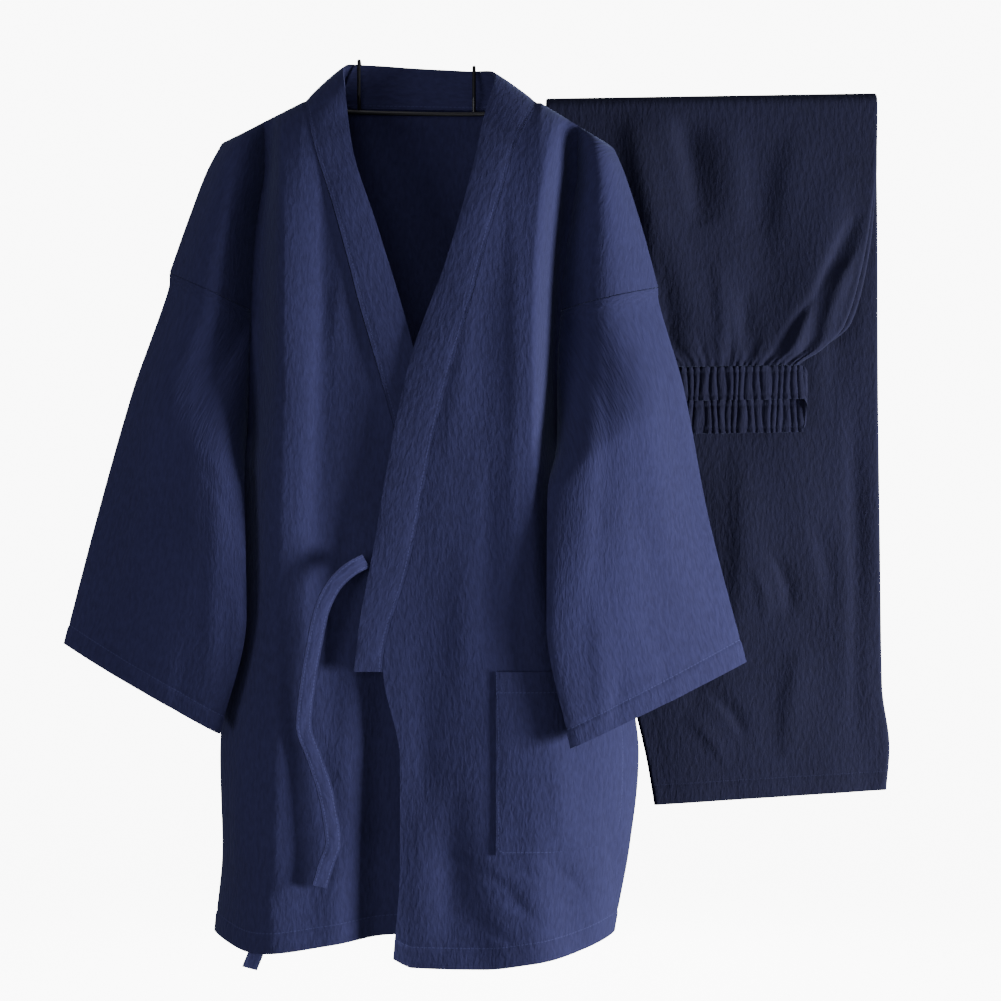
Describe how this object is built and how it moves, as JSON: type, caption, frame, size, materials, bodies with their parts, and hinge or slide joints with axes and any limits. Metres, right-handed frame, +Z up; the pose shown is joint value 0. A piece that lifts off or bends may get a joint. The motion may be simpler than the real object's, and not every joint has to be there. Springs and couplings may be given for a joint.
{
  "type": "hung kimono pyjama set",
  "caption": "Kimono pyjama set hung from a thin rod: cross-over jacket with wide sleeves, patch pocket and ties, and gathered-waist trousers folded over the rod.",
  "frame": {"origin": "on the rod's axis behind the jacket's neck, where a stranger would hold the rod", "axes": "+X towards the viewer's right along the rod, +Y away from the viewer, +Z up"},
  "size_m": [0.752, 0.1769, 0.8179],
  "materials": {
    "navy_cloth": "soft quilted cotton",
    "dark_metal": "satin"
  },
  "bodies": {
    "root": {"jacket_back": "navy_cloth", "jacket_front_left": "navy_cloth", "jacket_front_right": "navy_cloth", "sleeve_left": "navy_cloth", "sleeve_right": "navy_cloth", "collar_band": "navy_cloth", "pocket": "navy_cloth", "tie_front": "navy_cloth", "tie_side": "navy_cloth", "trouser_leg_left": "navy_cloth", "trouser_leg_right": "navy_cloth", "waistband": "navy_cloth", "rod": "dark_metal", "hanger": "dark_metal", "hook_left": "dark_metal", "hook_right": "dark_metal"}
  },
  "joints": []
}
